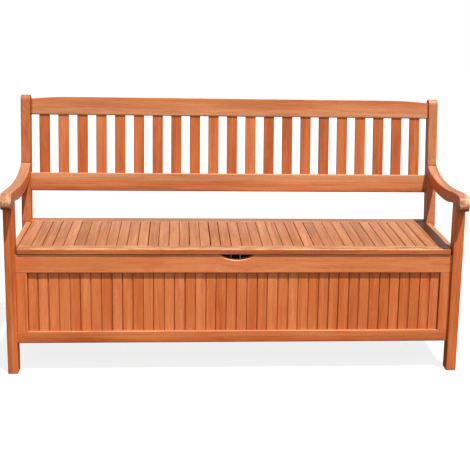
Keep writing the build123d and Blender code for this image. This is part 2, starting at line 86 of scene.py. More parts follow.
class Finish:
    # a material and its one way of adding nodes
    def __init__(self, name):
        self.material = bpy.data.materials.new(name)
        self.material.use_nodes = True
        self.tree = self.material.node_tree
        self.shader = self.tree.nodes["Principled BSDF"]

    def add(self, kind, settings=None, sockets=None, out=0):
        node = self.tree.nodes.new("ShaderNode" + kind)
        for key, value in (settings or {}).items():
            if key == "stops":
                ramp = node.color_ramp
                while len(ramp.elements) < len(value):
                    ramp.elements.new(0.5)
                for element, (place, colour) in zip(ramp.elements, value):
                    element.position = place
                    element.color = (*colour, 1)
            else:
                setattr(node, key, value)
        for key, value in (sockets or {}).items():
            plug(self.tree, node.inputs[key], value)
        return Shade(self.tree, node.outputs[out])

    def blend(self, factor, first, second):
        settings = {"data_type": "RGBA", "clamp_factor": True}
        return self.add("Mix", settings, {0: factor, 6: first, 7: second}, 2)

    def stretch(self, vector, scale):
        return self.add("VectorMath", {"operation": "MULTIPLY"}, {0: vector, 1: scale})

    def noise(self, vector, scale, detail, rough=0.5):
        # smooth noise, scale in cells per metre
        sockets = {"Vector": vector, "Scale": scale, "Detail": detail, "Roughness": rough}
        return self.add("TexNoise", None, sockets)

    def span(self, value, low, high):
        # smooth step from 0 at low to 1 at high
        return self.add("MapRange", {"interpolation_type": "SMOOTHSTEP"}, {0: value, 1: low, 2: high})

    def surface(self, **sockets):
        for name, value in sockets.items():
            plug(self.tree, self.shader.inputs[name.replace("_", " ")], value)


woodLook = {
    "ladder": ((0.0, (0.430, 0.084, 0.018)), (0.42, (0.630, 0.152, 0.036)),
               (0.80, (0.735, 0.220, 0.070)), (1.0, (0.800, 0.252, 0.094))),
    "airedLadder": ((0.0, (0.285, 0.112, 0.045)), (0.5, (0.445, 0.191, 0.085)), (1.0, (0.635, 0.292, 0.140))),
    "golden": (0.610, 0.200, 0.046),
    "ruddy": (0.640, 0.130, 0.046),
    "pore": (0.170, 0.040, 0.014),
    # dark colour for joint dirt and for painted shade, pale colour for scuffed spots and for painted
    # highlights
    "grime": (0.250, 0.036, 0.006),
    "worn": (0.710, 0.425, 0.240),
    # how much of the wood each of these colours hides
    "cover": {"golden": 0.26, "ruddy": 0.45, "pore": 0.45, "grime": 0.85, "worn": 0.4},
    # noise: cells in a metre along, across and through the fibre, then its detail and roughness
    "noise": {
        "drift": ((1.4, 9.0, 9.0), 2.0, 0.5), "streaks": ((2.2, 70.0, 70.0), 4.0, 0.74),
        "fibre": ((9.0, 620.0, 620.0), 3.0, 0.6), "clouds": ((3.0, 14.0, 14.0), 2.0, 0.5),
        "pores": ((38.0, 900.0, 900.0), 1.0, 0.5), "patches": ((9.0, 46.0, 46.0), 2.0, 0.5),
        "wear": ((14.0, 60.0, 60.0), 3.0, 0.5),
    },
    # where in its noise each of these begins and where it is full
    "spans": {"pore": (0.66, 0.74), "golden": (0.50, 0.66), "ruddy": (0.50, 0.34), "worn": (0.40, 0.62)},
    # weights of the patterns in the wood's figure, its relief and its roughness
    "figure": {"rings": 0.14, "streaks": 1.50, "fibre": 0.50, "clouds": 0.80},
    "relief": {"fibre": 0.50, "rings": 0.12, "pores": -0.90, "streaks": 0.40},
    "roughBy": {"streaks": -0.14, "pores": 0.18, "wear": -0.06},
    "start": -0.97, "toneReach": 0.60, "rough": 0.46, "shine": 0.22, "bump": 0.25, "bumpDeep": 0.0006,
    "ringRate": 1250.0, "ringDrift": 7.0, "driftAcross": 0.045, "driftDeep": 0.03, "airedFade": 0.65,
}


def oiledHardwood():
    look = woodLook
    wood = Finish("oiled hardwood")
    grain = wood.add("Attribute", {"attribute_name": "grain"}, None, 1)
    tone = wood.add("Attribute", {"attribute_name": "tone"}, None, 2)
    rim = wood.add("Attribute", {"attribute_name": "rim"}, None, 2)
    aired = wood.add("Attribute", {"attribute_name": "aired"}, None, 2)

    def alongFibre(name):
        cells, detail, rough = look["noise"][name]
        return wood.noise(wood.stretch(grain, cells), 1.0, detail, rough)

    def cover(colour, share, name):
        return wood.blend(share * look["cover"][name], colour, (*look[name], 1))

    def weighed(weights, start=0.0):
        # a start plus each pattern times its weight
        return sum((weight * pattern[name] for name, weight in weights.items()), start)

    # growth rings about 5 mm apart round the heart of the log, bent by its drift
    drift = alongFibre("drift")
    across = wood.add("SeparateXYZ", None, {0: grain}, 1) + (drift - 0.5) * look["driftAcross"]
    depth = wood.add("SeparateXYZ", None, {0: grain}, 2) + (drift - 0.5) * look["driftDeep"]
    radius = (across * across + depth * depth) ** 0.5
    turn = radius * look["ringRate"] + drift * look["ringDrift"]
    pattern = {name: alongFibre(name) for name in ("streaks", "fibre", "clouds")}
    pattern["rings"] = turn.maths("SINE", turn) * 0.5 + 0.5
    pattern["pores"] = wood.span(alongFibre("pores"), *look["spans"]["pore"])
    level = weighed(look["figure"]) + look["start"] + (tone - 0.5) * look["toneReach"]
    fresh = wood.add("ValToRGB", {"stops": look["ladder"]}, {0: level})
    colour = wood.blend(aired, fresh, wood.add("ValToRGB", {"stops": look["airedLadder"]}, {0: level}))
    # patches of golden and of redder wood, a hand long and a finger wide, faint where the wood is bleached
    patches = alongFibre("patches")
    unbleached = 1.0 - look["airedFade"] * aired
    for name in ("golden", "ruddy"):
        colour = cover(colour, wood.span(patches, *look["spans"][name]) * unbleached, name)
    colour = cover(colour, pattern["pores"], "pore")
    # below zero the rim takes the dark colour: joint dirt, and painted shade on undersides, under the lid and
    # on the arms' lips; above zero it turns pale in scuffed spots, and on the noses of the arms and the lid
    # that pale is a painted highlight
    colour = cover(colour, rim.maths("MAXIMUM", rim * -1.0, 0.0), "grime")
    paleSpots = wood.span(alongFibre("wear"), *look["spans"]["worn"])
    pattern["wear"] = rim.maths("MAXIMUM", rim, 0.0) * paleSpots
    colour = cover(colour, pattern["wear"], "worn")
    sockets = {"Strength": look["bump"], "Distance": look["bumpDeep"], "Height": weighed(look["relief"])}
    normal = wood.add("Bump", None, sockets)
    wood.surface(Base_Color=colour, Roughness=weighed(look["roughBy"], look["rough"]), Normal=normal)
    wood.shader.inputs["Specular IOR Level"].default_value = look["shine"]
    return wood.material


steelLook = {"bright": (0.22, 0.18, 0.13), "dull": (0.11, 0.09, 0.07), "brushed": (60.0, 900.0, 900.0),
             "spots": 180.0, "dullSpan": (0.35, 0.7), "rough": 0.44, "spotRough": 0.22,
             "bump": 0.15, "bumpDeep": 0.0002}


def brushedSteel():
    look = steelLook
    metal = Finish("brushed steel")
    place = metal.add("TexCoord", None, None, 3)
    lines = metal.noise(metal.stretch(place, look["brushed"]), 1.0, 3.0)
    spots = metal.noise(place, look["spots"], 4.0)
    colour = metal.blend(metal.span(spots, *look["dullSpan"]), (*look["bright"], 1), (*look["dull"], 1))
    sockets = {"Strength": look["bump"], "Distance": look["bumpDeep"], "Height": lines}
    normal = metal.add("Bump", None, sockets)
    metal.surface(Base_Color=colour, Roughness=look["rough"] + look["spotRough"] * spots, Normal=normal)
    metal.shader.inputs["Metallic"].default_value = 1.0
    return metal.material


hardwood = oiledHardwood()
steel = brushedSteel()
print("finishes mixed")


def roundProfile(halfWide, halfThick, radii, steps=4):
    # rounded rectangle: four corner centres set in by the corner's radius, plus a quarter circle round each
    turn = np.linspace(0.0, np.pi / 2, steps + 1)
    angle = np.concatenate([turn + quarter * np.pi / 2 for quarter in range(4)])
    signU = np.repeat([1.0, -1.0, -1.0, 1.0], steps + 1)
    signV = np.repeat([1.0, 1.0, -1.0, -1.0], steps + 1)
    a = np.atleast_1d(halfWide).astype(float)[:, None]
    b = np.atleast_1d(halfThick).astype(float)[:, None]
    corner = np.repeat(np.broadcast_to(radii, (len(b), 4)), steps + 1, axis=1)
    corner = np.minimum(corner, 0.98 * np.minimum(a, b))  # a little of each side stays flat
    u = signU * (a - corner) + corner * np.cos(angle)
    v = signV * (b - corner) + corner * np.sin(angle)
    return u, v, np.tile(np.sin(2 * turn), 4)


def easedStations(length, ease):
    # distances along a board and how far the section is drawn in there: a quarter circle at each end
    arc = np.array([0.0, 0.35, 1.0])  # shares of the ease
    drawnIn = ease * (1 - np.sqrt(1 - (1 - arc) ** 2))
    along = np.concatenate([arc * ease, length - arc[::-1] * ease])
    return along, np.concatenate([drawnIn, drawnIn[::-1]])


logReach = (3.0, 0.05, 0.05)  # along the fibre, across it and through it


def cutFrom():
    # where in the log a board was sawn: even chance, far along the fibre and near the heart across it
    return chance.uniform(-1, 1, 3) * logReach


def carried(places, rim, along, u, v, tone=None, aired=0.0):
    # one closed piece: sections in order along a path, joined by quads, with a face over each end
    stations, points = places.shape[:2]
    offset = cutFrom()
    grain = np.stack([np.broadcast_to(along[:, None], u.shape), u, v], axis=-1) + offset
    index = np.arange(stations * points).reshape(stations, points)
    right = np.roll(index, -1, axis=1)
    quads = np.stack([index[:-1], right[:-1], right[1:], index[1:]], axis=-1).reshape(-1, 4)
    ends = np.stack([index[0][::-1], index[-1]])
    tones = np.broadcast_to(chance.uniform() if tone is None else tone, (stations, points)).ravel()
    rims = np.broadcast_to(rim, (stations, points)).ravel()
    bleached = np.broadcast_to(aired, (stations, points)).ravel()
    return {"co": places.reshape(-1, 3), "grain": grain.reshape(-1, 3), "tone": tones, "rim": rims,
            "aired": bleached, "quads": quads, "ends": ends}


def straightBoard(start, end, wide, halfWide, halfThick, radii, ease, tone=None, aired=0.0):
    # rounded section carried on a straight line; wide is the direction of the section's first axis
    start, end = np.asarray(start, float), np.asarray(end, float)
    length = np.linalg.norm(end - start)
    ahead = (end - start) / length
    wide = np.asarray(wide, float)
    thick = np.cross(ahead, wide)
    along, inset = easedStations(length, ease)
    u, v, rim = roundProfile(halfWide - inset, halfThick - inset, radii)
    places = start + along[:, None, None] * ahead + u[..., None] * wide + v[..., None] * thick
    return carried(places, rim, along, u, v, tone, aired)


def boxBoard(low, high, grainAxis, radii, ease, tone=None, aired=0.0):
    # board that fills a box, its fibre along one axis of the frame
    low, high = np.asarray(low, float), np.asarray(high, float)
    mid, half = (low + high) / 2, (high - low) / 2
    wideAxis, thickAxis = (grainAxis + 1) % 3, (grainAxis + 2) % 3
    start, end, wide = mid.copy(), mid.copy(), np.zeros(3)
    start[grainAxis], end[grainAxis], wide[wideAxis] = low[grainAxis], high[grainAxis], 1.0
    return straightBoard(start, end, wide, half[wideAxis], half[thickAxis], radii, ease, tone, aired)


# bleaching of what faces the sky, painted shade on undersides, the boards' tone limits and the dirtiest joint
weatherAndShade = {"bleach": 0.95, "bleachFrom": 0.25, "bleachRun": 0.45,
           "shade": 0.7, "shadeFrom": 0.35, "shadeRun": 0.4,
           "dirtiest": 1.8, "toneLimits": (-0.15, 1.2)}


def dress(mesh, look):
    # writes the wood's attributes; the normal's upright part bleaches what faces the sky
    # and darkens undersides as painted shade, each rising evenly over a run from where it starts
    normals = np.zeros(3 * len(mesh.vertices), np.float32)
    mesh.vertex_normals.foreach_get("vector", normals)
    facing = normals[2::3]
    skyward = np.clip((facing - weatherAndShade["bleachFrom"]) / weatherAndShade["bleachRun"], 0, 1)
    # painted shade: undersides take the dark colour through the rim
    under = np.clip((-facing - weatherAndShade["shadeFrom"]) / weatherAndShade["shadeRun"], 0, 1)
    look["aired"] = np.maximum(look["aired"], weatherAndShade["bleach"] * skyward)
    look["rim"] = look["rim"] - weatherAndShade["shade"] * under
    for key, kind, field in (("grain", "FLOAT_VECTOR", "vector"), ("tone", "FLOAT", "value"),
                             ("rim", "FLOAT", "value"), ("aired", "FLOAT", "value")):
        values = look[key].astype(np.float32).ravel()
        mesh.attributes.new(key, kind, "POINT").data.foreach_set(field, values)
    mesh.materials.clear()
    mesh.materials.append(hardwood)


def paintedShadeByHeight(board, tones, bleaching):
    # painted shade: tone and bleaching change evenly from the board's lower edge to its upper one, darkening
    # a rail towards one edge
    height = board["co"][:, 2]
    rise = (height - height.min()) / np.ptp(height)
    board["tone"] = np.interp(rise, (0, 1), tones)
    board["aired"] = np.interp(rise, (0, 1), bleaching)
    return board


def boardTone(middle, spread):
    # normal chance about the middle, kept within limits
    return np.clip(chance.normal(middle, spread), *weatherAndShade["toneLimits"])


def jointDirt():
    return dirt.uniform(0.0, weatherAndShade["dirtiest"])


def makePiece(name, boards, body, nodes=(), material=None):
    # one mesh of all its boards, the faces of each counted on from its first point
    counts = np.cumsum([0] + [len(b["co"]) for b in boards])
    faces = []
    for base, b in zip(counts, boards):
        faces += (b["quads"] + base).tolist()
        faces += [(end + base).tolist() for end in b["ends"]]
    name = name.replace(" ", "_")
    mesh = bpy.data.meshes.new(name)
    mesh.from_pydata(np.concatenate([b["co"] for b in boards]), [], faces)
    mesh.polygons.foreach_set("use_smooth", np.ones(len(mesh.polygons), bool))
    keys = ("grain", "tone", "rim", "aired")
    dress(mesh, {key: np.concatenate([b[key] for b in boards]) for key in keys})
    if material:
        mesh.materials[0] = material
    piece = bpy.data.objects.new(name, mesh)
    bpy.context.scene.collection.objects.link(piece)
    soft = piece.modifiers.new("even normals", "WEIGHTED_NORMAL")
    soft.weight = 100  # the largest face at a point decides
    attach(piece, body)
    if nodes:
        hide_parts(*nodes)


def standIn(node, boards, body="frame"):
    # a piece with the name of the node that it replaces
    makePiece(node, boards, body, [node])


def dressNode(name, tone, aired=0.0):
    # a solid shown as it is, bolt holes and all, with the fibre running up it
    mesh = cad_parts[name].data
    places = np.zeros(3 * len(mesh.vertices), np.float32)
    mesh.vertices.foreach_get("co", places)
    places = places.reshape(-1, 3)
    grain = (places - places.mean(0))[:, [2, 0, 1]] + cutFrom()
    level = np.ones(len(places))
    dress(mesh, {"grain": grain, "tone": tone * level, "rim": 0 * level, "aired": aired * level})


def nodeBox(name):
    low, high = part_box(name)
    return np.array(low), np.array(high)


def rowOfBoxes(low, high, count, gap, axis, uneven):
    # boxes side by side, one every (length + gap) / count
    # dry wood shrinks unevenly, so each joint's edges shift by a share of the gap
    pitch = (high[axis] - low[axis] + gap) / count
    for i in range(count):
        start, stop = low.copy(), high.copy()
        start[axis] = low[axis] + i * pitch
        stop[axis] = start[axis] + pitch - gap
        start[axis] += (i > 0) * chance.uniform(-uneven, uneven) * gap
        stop[axis] += (i < count - 1) * chance.uniform(-uneven, uneven) * gap
        yield start, stop


upright = {
    "tenon": 0.020, "topRound": 0.020, "lean": 8.0,
    "left": {"legTone": 0.16, "postTone": 0.10, "postAired": 0.3},
    "right": {"legTone": 0.40, "postTone": 0.56, "postAired": 0.7},
}

# main lines of the frame, read from the solids
legLow, legHigh = nodeBox("front_leg_right")
postLow, postHigh = nodeBox("back_post_right")
innerX, outerX = legLow[0], legHigh[0]
seatTop = nodeBox("lid_front_rail")[1][2]
postFront = postLow[1]
lean = np.radians(upright["lean"])
up = np.array([0.0, np.sin(lean), np.cos(lean)])
behind = np.array([0.0, np.cos(lean), -np.sin(lean)])
backFoot = np.array([0.0, postFront, seatTop])
legTop = legHigh[2] - upright["tenon"]
# length of the leaning part of a post, up to the top of its round end
topCentre = (postHigh[2] - seatTop + upright["topRound"] * (np.sin(lean) - 1)) / np.cos(lean)
postReach = topCentre + upright["topRound"]


def atBack(x, t, n):
    # point of the backrest: t up along its lean, n behind the face of the posts
    return np.array([x, 0.0, 0.0]) + backFoot + t * up + n * behind


def buildUprights():
    for side in ("left", "right"):
        look = upright[side]
        dressNode("front_leg_" + side, look["legTone"])
        dressNode("back_post_" + side, look["postTone"], look["postAired"])


arm = {
    "wide": 0.036, "thick": 0.043, "endThick": 0.039, "radius": 0.004, "leanFrom": 0.75,
    "noseSteps": 15, "steps": 56, "cornerSteps": 5,
    "dip": 0.014, "dipAt": (0.28, 0.53, 0.8), "dipShare": (0.65, 1.0, 0.6), "lift": 0.020, "slope": 0.424,
    "nose": 0.046, "noseRound": 0.030, "drop": 0.010, "lipRound": 0.012,
    "tone": {"left": 0.42, "right": 0.38}, "aired": 0.1,
    # the nose, over the length that carries a painted highlight above and painted shade on its lip
    "paintedNose": 0.050, "paintedNoseTone": 0.45, "noseHighlight": 2.0, "lipShadeTone": 0.5, "lipShade": 0.7,
}


def clampedCubic(knots, heights, startSlope, endSlope, at):
    # cubic spline through the knots with set end slopes: solved for the slope at each knot,
    # then a Hermite piece between each two
    step = np.diff(knots)
    rise = np.diff(heights) / step
    count = len(knots)
    matrix, right = np.eye(count), np.zeros(count)
    right[0], right[-1] = startSlope, endSlope
    for k in range(1, count - 1):
        matrix[k, k - 1:k + 2] = step[k], 2 * (step[k - 1] + step[k]), step[k - 1]
        right[k] = 3 * (step[k] * rise[k - 1] + step[k - 1] * rise[k])
    slope = np.linalg.solve(matrix, right)
    k = np.clip(np.searchsorted(knots, at) - 1, 0, count - 2)
    h = step[k]
    f = (at - knots[k]) / h
    return ((2 * f ** 3 - 3 * f ** 2 + 1) * heights[k] + (f ** 3 - 2 * f ** 2 + f) * h * slope[k]
            + (3 * f ** 2 - 2 * f ** 3) * heights[k + 1] + (f ** 3 - f ** 2) * h * slope[k + 1])


def postFaceAt(rise):
    # how far behind the leg's front the leaning post begins, at a height above the top of the leg
    return postFront - legLow[1] + (legTop + rise - seatTop) * np.tan(lean)


def armEdges(y):
    # heights of the top and underside above the top of the leg, y counted from the front of the leg
    deep = legHigh[1] - legLow[1]
    noseR, lipR = arm["noseRound"], arm["lipRound"]
    topEnd = arm["thick"] + arm["lift"]
    lowEnd = topEnd - arm["endThick"]
    places = np.array(arm["dipAt"]) * (postFront - legLow[1])
    sags = np.array(arm["dipShare"]) * arm["dip"]
    topKnots = np.concatenate([[noseR - arm["nose"]], places, [postFaceAt(topEnd)]])
    topHeights = np.concatenate([[arm["thick"]], arm["thick"] - sags, [topEnd]])
    lowKnots = np.concatenate([[deep], places, [postFaceAt(lowEnd)]])
    lowHeights = np.concatenate([[0.0], -sags, [lowEnd]])
    # the nose is an arc above and a small lip below, which a smooth step joins to the flat seat on the leg
    noseAt = np.clip((y + arm["nose"] - noseR) / noseR, -1, 0)
    top = np.where(y < topKnots[0], arm["thick"] - noseR + noseR * np.sqrt(1 - noseAt ** 2),
                   clampedCubic(topKnots, topHeights, 0.0, arm["slope"], y))
    lipAt = np.clip((y + arm["nose"] - lipR) / lipR, -1, 0)
    ramp = np.clip((y + arm["nose"] - lipR) / (arm["nose"] - lipR), 0, 1)
    front = np.where(y < lipR - arm["nose"], lipR - arm["drop"] - lipR * np.sqrt(1 - lipAt ** 2),
                     arm["drop"] * (ramp ** 2 * (3 - 2 * ramp) - 1))
    rear = np.where(y < deep, 0.0, clampedCubic(lowKnots, lowHeights, 0.0, arm["slope"], y))
    return top, np.where(y < 0, front, rear)


def buildArms():
    # upright sections from the nose to the post, the last ones leaning until they match the post's face
    noseR = arm["noseRound"]
    midEnd = postFaceAt(arm["thick"] + arm["lift"] - arm["endThick"] / 2)
    theta = np.linspace(0.0, np.pi / 2, arm["noseSteps"])
    y = np.concatenate([noseR * (1 - np.cos(theta)) - arm["nose"],
                        np.linspace(noseR - arm["nose"], midEnd, arm["steps"])[1:]])
    leanStart = arm["leanFrom"] * (postFront - legLow[1])
    weight = np.clip((y - leanStart) / (midEnd - leanStart), 0, 1)
    leanBy = weight * np.tan(lean) * arm["endThick"] / 2
    top, low = armEdges(y + leanBy)[0], armEdges(y - leanBy)[1]
    inFront = np.clip(1 - (y + arm["nose"]) / arm["radius"], 0, 1)
    halfWide = arm["wide"] / 2 - arm["radius"] * (1 - np.sqrt(1 - inFront ** 2))
    half, centre = (top - low) / 2, (top + low) / 2
    along = np.concatenate([[0.0], np.cumsum(np.hypot(np.diff(y), np.diff(centre)))])
    u, v, rim = roundProfile(half, halfWide, arm["radius"], arm["cornerSteps"])
    level = u / half[:, None]
    # painted light on the nose, less and less along it: a painted highlight bleaches and pales its top,
    # painted shade darkens its lip
    paintedNose = np.clip(1 - (y + arm["nose"]) / arm["paintedNose"], 0, 1)[:, None]
    paler = paintedNose * (arm["paintedNoseTone"] + arm["lipShadeTone"] * np.clip(-level, 0, 1))
    wear = rim + paintedNose * np.where(level > 0, arm["noseHighlight"] * level, arm["lipShade"] * level)
    bleached = arm["aired"] + (1 - arm["aired"]) * paintedNose
    for side, name in ((-1.0, "left"), (1.0, "right")):
        places = np.zeros((*u.shape, 3))
        places[..., 0] = side * (innerX + outerX) / 2 + v
        places[..., 1] = legLow[1] + y[:, None] + level * leanBy[:, None]
        places[..., 2] = legTop + centre[:, None] + u
        board = carried(places, wear, along, u, v, arm["tone"][name] - paler, bleached)
        standIn("armrest_" + name, [board])


backrest = {
    "low": 0.111, "railHigh": 0.067, "topDown": 0.006, "set": 0.009, "railThick": 0.022,
    "ease": 0.008, "easeRun": 0.150, "easeSteps": 14, "radius": 0.003, "lowRound": 0.005, "endEase": 0.0002,
    "slats": 21, "slatWide": 0.0385, "slatThick": 0.012, "slatRound": 0.002, "slatEase": 0.0005,
    "housing": 0.010,
    # from the lower edge of a rail to its upper one; as painted shade the bottom rail darkens towards its
    # lower edge and the top rail towards its upper edge
    "lowTones": (-0.10, 0.98), "lowAired": (0.30, 1.0), "topTones": (0.96, 0.36), "topAired": (0.95, 0.45),
    "slatTone": 0.06, "slatSpread": 0.13, "slatAired": 0.22, "slatGrime": 0.6,
}
backMiddle = backrest["set"] + backrest["railThick"] / 2
slatLow = backrest["low"] + backrest["railHigh"]
slatTop = postReach - backrest["topDown"] - backrest["railHigh"]
across = np.array([1.0, 0.0, 0.0])


def buildBackRails():
    b = backrest
    rounds = np.array([b["radius"], b["lowRound"], b["radius"], b["radius"]])
    height = b["low"] + b["railHigh"] / 2
    low = straightBoard(atBack(-innerX, height, backMiddle), atBack(innerX, height, backMiddle), up,
                        b["railHigh"] / 2, b["railThick"] / 2, rounds, b["endEase"])
    standIn("back_bottom_rail", [paintedShadeByHeight(low, b["lowTones"], b["lowAired"])])
    # top rail: sections along X whose upper edge falls on an arc near both ends
    radius = (b["easeRun"] ** 2 + b["ease"] ** 2) / (2 * b["ease"])
    easeX = innerX - b["easeRun"]
    x = np.concatenate([np.linspace(-innerX, -easeX, b["easeSteps"]), np.linspace(-easeX, easeX, 5)[1:-1],
                        np.linspace(easeX, innerX, b["easeSteps"])])
    past = np.clip(np.abs(x) - easeX, 0, None)
    high = b["railHigh"] - radius + np.sqrt(radius ** 2 - past ** 2)
    u, v, rim = roundProfile(high / 2, b["railThick"] / 2, rounds)
    rise = slatTop + high[:, None] / 2 + u
    places = (x[:, None, None] * across + (backFoot + backMiddle * behind)
              + rise[..., None] * up - v[..., None] * behind)
    top = carried(places, rim, x, u, v)
    standIn("back_top_rail", [paintedShadeByHeight(top, b["topTones"], b["topAired"])])


def buildBackSlats():
    # slats at an even pitch, (clear width + slat) / (count + 1), let into both rails
    b = backrest
    pitch = (2 * innerX + b["slatWide"]) / (b["slats"] + 1)
    slats = []
    for i in range(b["slats"]):
        x = (i - (b["slats"] - 1) / 2) * pitch
        tone = b["slatTone"] + chance.normal(0, b["slatSpread"])
        foot = atBack(x, slatLow - b["housing"], backMiddle)
        head = atBack(x, slatTop + b["housing"], backMiddle)
        slat = straightBoard(foot, head, across, b["slatWide"] / 2, b["slatThick"] / 2, b["slatRound"],
                             b["slatEase"], tone, b["slatAired"])
        slat["rim"] = -b["slatGrime"] * slat["rim"]
        slats.append(slat)
    standIn("back_slats", slats)


panel = {
    "boards": 40, "gap": 0.002, "rearGap": 0.0005, "sideBoards": 11, "floorSlats": 20, "floorGap": 0.012,
    "uneven": 0.48, "boardRound": 0.0018, "boardEase": 0.0008,
    "tongue": 0.004, "tongueThick": 0.003, "tongueRound": 0.0003, "tongueTone": 0.5,
    "railRadius": 0.002, "lowRound": 0.005, "endEase": 0.0002, "groove": 0.010, "fit": 0.0002,
    "gripWide": 0.120, "gripDeep": 0.020, "gripEnd": 0.018, "gripRound": 0.006, "gripSteps": 61,
    # middle and spread of the boards' tones
    "frontTone": (0.66, 0.24), "rearTone": (0.45, 0.3), "floorTone": (0.5, 0.25), "sideTone": (0.42, 0.24),
    "sideRailTone": 0.55, "stileTone": 0.60, "railTone": 0.42,
    "topTone": 0.98, "topAired": 0.1, "gripTone": 0.8, "gripPale": 0.6,
    # from the lower edge of the front bottom rail to its upper one, darker towards the lower edge as painted
    # shade
    "lowTones": (-0.05, 0.55), "lowAired": (0.0, 0.2),
}


def boardRow(name, node, count, gap, rowAxis, grainAxis, tone, tongued=False):
    # boards side by side over a node's box, and in each joint a tongue from one board into the next
    p = panel
    low, high = nodeBox(node)
    thinAxis = 3 - rowAxis - grainAxis
    middle = (low[thinAxis] + high[thinAxis]) / 2
    boards = []
    for i, (start, stop) in enumerate(rowOfBoxes(low, high, count, gap, rowAxis, p["uneven"])):
        boards.append(boxBoard(start, stop, grainAxis, p["boardRound"], p["boardEase"], boardTone(*tone)))
        if tongued and i < count - 1:
            start[rowAxis] = stop[rowAxis] - p["tongue"]
            stop[rowAxis] += gap + p["tongue"]
            start[thinAxis] = middle - p["tongueThick"] / 2
            stop[thinAxis] = middle + p["tongueThick"] / 2
            tongue = boxBoard(start, stop, grainAxis, p["tongueRound"], p["tongueRound"], p["tongueTone"])
            boards.append(tongue)
    for board in boards:
        board["rim"] = -board["rim"] * jointDirt()
    makePiece(name, boards, "frame", [node])


def panelRail(node, low, high, grainAxis, tone):
    standIn(node, [boxBoard(low, high, grainAxis, panel["railRadius"], panel["endEase"], tone)])


def buildPanels():
    p = panel
    boardRow("front panel boards", "front_boards", p["boards"], p["gap"], 0, 2, p["frontTone"], True)
    boardRow("rear panel boards", "rear_boards", p["boards"], p["rearGap"], 0, 2, p["rearTone"])
    boardRow("floor slats", "floor_slats", p["floorSlats"], p["floorGap"], 0, 1, p["floorTone"])
    for side in ("left", "right"):
        node = "side_boards_" + side
        boardRow(node, node, p["sideBoards"], p["gap"], 1, 2, p["sideTone"], True)
        for level in ("top", "bottom"):
            node = f"side_{level}_rail_{side}"
            low, high = nodeBox(node)
            low[1], high[1] = legHigh[1], postFront
            panelRail(node, low, high, 1, p["sideRailTone"])
        for where in ("front", "rear"):
            node = f"{where}_stile_{side}"
            low, high = nodeBox(node)
            low[2] += p["groove"]
            high[2] -= p["groove"] - p["fit"]
            panelRail(node, low, high, 2, p["stileTone"])
    low, high = nodeBox("front_bottom_rail")
    rounds = (p["railRadius"], p["railRadius"], p["lowRound"], p["railRadius"])
    rail = boxBoard(low, high, 0, rounds, p["endEase"])
    standIn("front_bottom_rail", [paintedShadeByHeight(rail, p["lowTones"], p["lowAired"])])
    for node in ("rear_bottom_rail", "rear_top_rail", "floor_cleat_front", "floor_cleat_rear"):
        panelRail(node, *nodeBox(node), 0, p["railTone"])


def buildFrontTopRail():
    # sections along X whose upper edge dips on the grip's circle, each corner of the grip on a smaller one
    p = panel
    low, high = nodeBox("front_top_rail")
    gripR = ((p["gripWide"] / 2) ** 2 + p["gripDeep"] ** 2) / (2 * p["gripDeep"])
    endR = p["gripEnd"]
    lift = gripR - p["gripDeep"]
    endX = np.sqrt((gripR + endR) ** 2 - (lift + endR) ** 2)
    meetX = endX * gripR / (gripR + endR)
    grip = endX * np.sin(np.linspace(-1, 1, p["gripSteps"]) * np.pi / 2)
    x = np.concatenate([[low[0], low[0] / 2], grip, [high[0] / 2, high[0]]])
    near = np.abs(x)
    arc = lift - np.sqrt(gripR ** 2 - np.clip(near, 0, gripR) ** 2)
    corner = np.sqrt(np.clip(endR ** 2 - (near - endX) ** 2, 0, None)) - endR
    top = high[2] + np.where(near <= meetX, arc, np.where(near < endX, corner, 0.0))
    half, centre = (top - low[2]) / 2, (top + low[2]) / 2
    # the grip's front edge is rounded over and painted pale: raw-cut end grain, and a painted highlight
    inGrip = np.clip((endX - near) / p["gripRound"], 0, 1)[:, None]
    rounds = p["railRadius"] + inGrip * (p["gripRound"] - p["railRadius"]) * (0.0, 1.0, 0.0, 0.0)
    u, v, rim = roundProfile(np.full(len(x), (high[1] - low[1]) / 2), half, rounds)
    tone = p["topTone"] + p["gripTone"] * inGrip * (v > half[:, None] - p["gripPale"] * rounds[:, 1:2])
    # painted shadow: the upper edge under the lid takes the dark colour, but not in the grip
    rim = np.where(v > half[:, None] - rounds[:, 1:2], inGrip - 1.0, rim)
    places = np.zeros((*u.shape, 3))
    places[..., 0] = x[:, None]
    places[..., 1] = (low[1] + high[1]) / 2 + u
    places[..., 2] = centre[:, None] + v
    standIn("front_top_rail", [carried(places, rim, x, u, v, tone, p["topAired"])])


lid = {
    "slats": 39, "gap": 0.0016, "uneven": 0.4, "slatThick": 0.014, "slatRound": 0.0015, "ease": 0.0012,
    "joint": 0.003, "hinges": (-0.520, 0.0, 0.520), "hingeHalf": 0.031, "hingeRoom": 0.002,
    "slatTone": (0.17, 0.13), "endTone": 0.20,
    "battenRound": 0.002, "battenEase": 0.001,
    "screw": 0.0035, "screwProud": 0.0004, "screwDeep": 0.001, "screwEase": 0.0003,
    "railWide": 0.044, "railRound": 0.0015, "noseRound": 0.006, "lowRounds": (0.002, 0.001),
    "railTone": -0.05, "railAired": 0.3, "topTone": 0.02, "topHighlight": 1.0,
    "ledgeLap": 0.001, "ledgeRound": 0.001, "ledgeTone": 0.64,
}
battens = ("lid_rear_batten", "lid_middle_batten")


